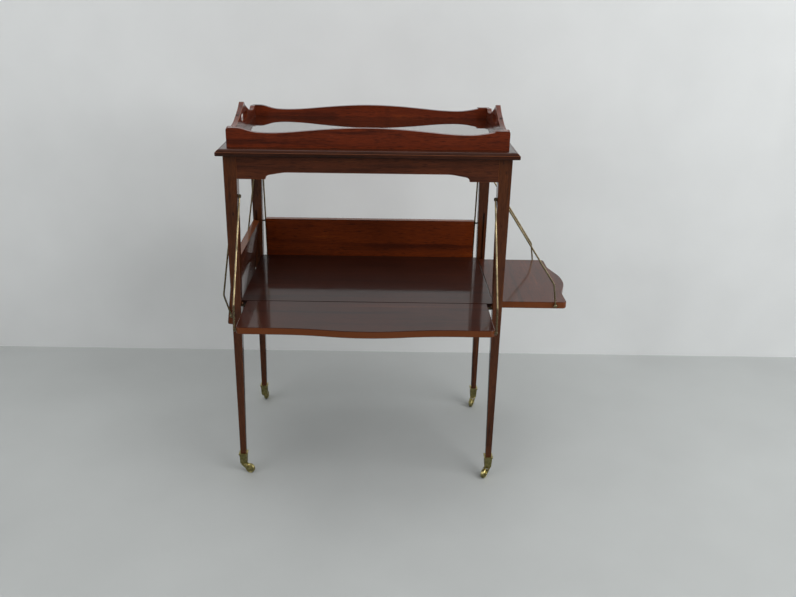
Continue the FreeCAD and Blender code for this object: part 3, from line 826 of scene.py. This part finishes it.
@dataclass
class StayScrews:
    """Slotted round-head shoulder screws on which the stays swing."""

    bench: Bench
    finishes: Finishes
    body: str = "table"
    rod_radius: float = 2.0 * MM
    head_setback: float = 1.8 * MM
    head_radius: float = 4.0 * MM
    head_rise: float = 1.8 * MM
    dome_points: int = 5
    shank_radius: float = 1.75 * MM
    collar_radius: float = 3.2 * MM
    collar_start: float = 3.6 * MM
    collar_end: float = 4.3 * MM
    tip: float = 14.3 * MM
    slot_width: float = 0.9 * MM
    slot_depth: float = 1.0 * MM
    steps: int = 32
    turn_each_deg: float = 37.0

    def screw(self) -> bmesh.types.BMesh:
        """Make one screw with its head up and the head's underside at zero.

        Returns:
            A closed bmesh.
        """
        shank = [(self.shank_radius, 0.0), (self.shank_radius, -self.collar_start),
                 (self.collar_radius, -self.collar_start), (self.collar_radius, -self.collar_end),
                 (self.shank_radius, -self.collar_end), (self.shank_radius, -self.tip), (0.0, -self.tip)]
        head = dome(self.head_radius, self.head_rise, self.dome_points)
        bm = self.bench.turned(head + shank, self.steps)
        self.cut_slot(bm)
        return bm

    def cut_slot(self, bm: bmesh.types.BMesh) -> None:
        """Saw the driver slot across the head.

        Args:
            bm: The screw.
        """
        half = self.slot_width / 2
        floor = self.head_rise - self.slot_depth
        for point, way in (((half, 0, 0), (1, 0, 0)), ((-half, 0, 0), (1, 0, 0)), ((0, 0, floor), UP)):
            head = [face for face in bm.faces if face.calc_center_median().z > 0]
            edges = dict.fromkeys(edge for face in head for edge in face.edges)
            corners = dict.fromkeys(vert for face in head for vert in face.verts)
            bmesh.ops.bisect_plane(bm, geom=[*head, *edges, *corners], dist=NEAR, plane_co=point,
                                   plane_no=way)
        middles = {face: face.calc_center_median() for face in bm.faces}
        waste = [face for face, middle in middles.items() if middle.z > floor and abs(middle.x) < half]
        bmesh.ops.delete(bm, geom=waste, context="FACES")
        # The open rim is closed again with two walls and a floor.
        rim = [edge for edge in bm.edges if edge.is_boundary]
        ends = dict.fromkeys(vert for edge in rim for vert in edge.verts if abs(vert.co.z - floor) < NEAR)
        rungs = []
        for side in (-half, half):
            rung = bm.edges.new([vert for vert in ends if abs(vert.co.x - side) < NEAR])
            wall = [edge for edge in rim if all(abs(vert.co.x - side) < NEAR for vert in edge.verts)]
            bmesh.ops.contextual_create(bm, geom=[*wall, rung])
            rungs.append(rung)
        low = [edge for edge in rim if all(abs(vert.co.z - floor) < NEAR for vert in edge.verts)]
        bmesh.ops.contextual_create(bm, geom=[*low, *rungs])

    def build(self) -> None:
        """Put a screw through each stay's upper eye."""
        group = bmesh.new()
        stays = [joint for joint in frame["joints"] if "_stay_" in joint["name"]]
        for count, joint in enumerate(stays):
            axis = Vector(joint["axis"])
            across = 0 if abs(axis.x) > abs(axis.y) else 1
            low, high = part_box(joint["child"])
            side = 1 if low[across] + high[across] > 0 else -1
            inner = low[across] if side > 0 else high[across]
            place = Vector(joint["pos_m"])
            place[across] = inner + side * (self.rod_radius - self.head_setback)
            self.bench.add_placed(group, self.screw(), place, axis.normalized() * -side,
                                  math.radians(self.turn_each_deg * count))
        self.bench.hang("slotted_stay_screws", group, self.finishes.pin_brass, self.body, "brass",
                        "stay_screws")


@dataclass
class LiftOffTray:
    """Tray with lobed boards, hand-holes and a glass bottom."""

    bench: Bench
    finishes: Finishes
    body: str = "tray"
    ease: float = 1.1 * MM
    pellet_radius: float = 3.5 * MM
    pellet_rise: float = 0.9 * MM
    pellet_depth: float = 6.0 * MM
    pellet_out: float = 1.5 * MM
    pellet_reach: float = 53.0 * MM
    pellet_steps: int = 24
    pellet_points: int = 4

    def pellets(self) -> None:
        """Set the dark pellets that cover the screws in the end boards' flanks."""
        group = bmesh.new()
        cap = dome(self.pellet_radius, self.pellet_rise, self.pellet_points)
        stem = [(self.pellet_radius, -self.pellet_depth), (0.0, -self.pellet_depth)]
        for node in ("tray_left_end", "tray_right_end"):
            board = bmesh.new()
            board.from_mesh(frame["nodes"][node].data)
            skin = BVHTree.FromBMesh(board)
            board.free()
            low, high = (Vector(corner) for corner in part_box(node))
            middle = (low + high) / 2
            out = math.copysign(self.pellet_out, middle.x)
            for reach in (-self.pellet_reach, self.pellet_reach):
                above = Vector((middle.x + out, middle.y + reach, high.z + self.pellet_depth))
                place, normal, _, _ = skin.ray_cast(above, -UP)
                self.bench.add_placed(group, self.bench.turned(cap + stem, self.pellet_steps), place, normal)
        self.bench.hang("tray_screw_pellets", group, self.finishes.ebonised, self.body, "mahogany")

    def build(self) -> None:
        """Build the four boards and dress the base and the glass."""
        for node in ("tray_front_board", "tray_rear_board", "tray_left_end", "tray_right_end"):
            wood = self.finishes.long_board if node.endswith("_board") else self.finishes.cross_board
            self.bench.hang(f"lobed_{node}", self.bench.eased(node, self.ease), wood, self.body, "mahogany",
                            node)
        self.pellets()
        self.bench.dress("tray_base", self.finishes.carcase_long)
        self.bench.dress("tray_glass", self.finishes.glass)


@dataclass
class Caster:
    """Brass caster at one corner."""

    bench: Bench
    finishes: Finishes
    corner: Corner
    ease: float = 0.3 * MM

    def build(self) -> None:
        """Build the cup, horn, wheel and axle from their CAD shapes."""
        name = self.corner.value
        riders = {"cup": "table", "horn": f"caster_{name}", "wheel": f"caster_wheel_{name}",
                  "axle": f"caster_{name}"}
        for part, body in riders.items():
            node = f"caster_{part}_{name}"
            self.bench.hang(f"cast_{part}_{name}", self.bench.eased(node, self.ease),
                            self.finishes.caster_brass, body, "brass", node)


@dataclass
class Studio:
    """Pale floor and wall, soft lamps and the camera at the photographed angle."""

    camera_place: tuple[float, float, float] = (0.0359, -1.8494, 1.145)
    pitch_deg: float = 21.2
    yaw_deg: float = -0.20
    roll_deg: float = 0.72
    focal_px: float = 784.4
    frame_px: tuple[float, float] = (796.0, 597.0)
    centre_px: tuple[float, float] = (380.0, 288.5)
    sensor_mm: float = 36.0
    half_width: float = 6.0
    wall_distance: float = 0.52
    wall_height: float = 5.0
    floor_paint: StagePaint = StagePaint("studio_floor_paint", "#b4b7b6", "#6a6e6d", roughness=0.6)
    wall_paint: StagePaint = StagePaint("studio_wall_paint", "#e6e8e8", "#f0f2f2", roughness=0.8)
    softboxes: tuple[Softbox, ...] = (
        Softbox("key_softbox", (2.9, -2.0, 2.5), size=3.2, power=105.0),
        Softbox("fill_softbox", (-3.0, -2.0, 2.2), size=3.0, power=40.0),
        Softbox("top_softbox", (0.0, -0.3, 3.6), size=3.4, power=60.0, mirrored=False))
    lit_place: tuple[float, float, float] = (0.0, 0.0, 0.5)
    air_colour: str = "#f2f3f3"
    air_strength: float = 0.16

    def camera(self) -> None:
        """Set the camera up."""
        yaw, pitch, roll = (math.radians(a) for a in (self.yaw_deg, self.pitch_deg, self.roll_deg))
        ahead = Vector((math.sin(yaw) * math.cos(pitch), math.cos(yaw) * math.cos(pitch), -math.sin(pitch)))
        right = Vector((math.cos(yaw), -math.sin(yaw), 0.0))
        up = right.cross(ahead)
        across = right * math.cos(roll) + up * math.sin(roll)
        upward = up * math.cos(roll) - right * math.sin(roll)
        data = bpy.data.cameras.new("camera")
        data.sensor_width = self.sensor_mm
        data.lens = self.focal_px / self.frame_px[0] * self.sensor_mm
        data.shift_x = (self.frame_px[0] / 2 - self.centre_px[0]) / self.frame_px[0]
        data.shift_y = (self.centre_px[1] - self.frame_px[1] / 2) / self.frame_px[0]
        eye = bpy.data.objects.new("camera", data)
        bpy.context.scene.collection.objects.link(eye)
        basis = Matrix((across, upward, -ahead)).transposed().to_4x4()
        eye.matrix_world = Matrix.Translation(self.camera_place) @ basis
        bpy.context.scene.camera = eye

    def surface(self, name: str, paint: StagePaint, corners: list[tuple[float, float, float]]) -> None:
        """Lay one flat stage surface.

        Args:
            name: Its name.
            paint: Its finish.
            corners: Its corners in order.
        """
        bm = bmesh.new()
        bm.faces.new([bm.verts.new(corner) for corner in corners])
        mesh = bpy.data.meshes.new(name)
        bm.to_mesh(mesh)
        bm.free()
        mesh.materials.append(paint.build())
        piece = bpy.data.objects.new(name, mesh)
        bpy.context.scene.collection.objects.link(piece)

    def lamp(self, softbox: Softbox) -> None:
        """Hang one soft lamp that faces the table.

        Args:
            softbox: What it is and where it hangs.
        """
        data = bpy.data.lights.new(softbox.name, "AREA")
        data.size = softbox.size
        data.energy = softbox.power
        lamp = bpy.data.objects.new(softbox.name, data)
        bpy.context.scene.collection.objects.link(lamp)
        lamp.location = softbox.place
        lamp.visible_glossy = softbox.mirrored
        aim = Vector(self.lit_place) - Vector(softbox.place)
        lamp.rotation_euler = aim.to_track_quat("-Z", "Y").to_euler()

    def air(self) -> None:
        """Fill the room with a faint even light."""
        world = bpy.data.worlds.new("studio_air")
        bpy.context.scene.world = world
        world.use_nodes = True
        background = world.node_tree.nodes["Background"]
        background.inputs["Color"].default_value = linear(self.air_colour)
        background.inputs["Strength"].default_value = self.air_strength

    def build(self) -> None:
        """Build the whole studio."""
        half, wall, top = self.half_width, self.wall_distance, self.wall_height
        self.surface("studio_floor", self.floor_paint,
                     [(-half, -half, 0), (half, -half, 0), (half, half, 0), (-half, half, 0)])
        self.surface("studio_wall", self.wall_paint,
                     [(-half, wall, 0), (half, wall, 0), (half, wall, top), (-half, wall, top)])
        for softbox in self.softboxes:
            self.lamp(softbox)
        self.air()
        self.camera()


def main() -> None:
    """Build the table's sub-assemblies and the studio."""
    logging.basicConfig(level=logging.INFO, format="%(message)s")
    bpy.context.scene.view_settings.view_transform = "Standard"
    bench = Bench()
    finishes = Finishes()
    Carcase(bench, finishes).build()
    LowShelf(bench, finishes).build()
    for side in Side:
        SwingLeaf(bench, finishes, side).build()
    StayScrews(bench, finishes).build()
    LiftOffTray(bench, finishes).build()
    for corner in Corner:
        Caster(bench, finishes, corner).build()
    Studio().build()
    log.info("%d new pieces", bench.count)


if __name__ == "__main__":
    main()
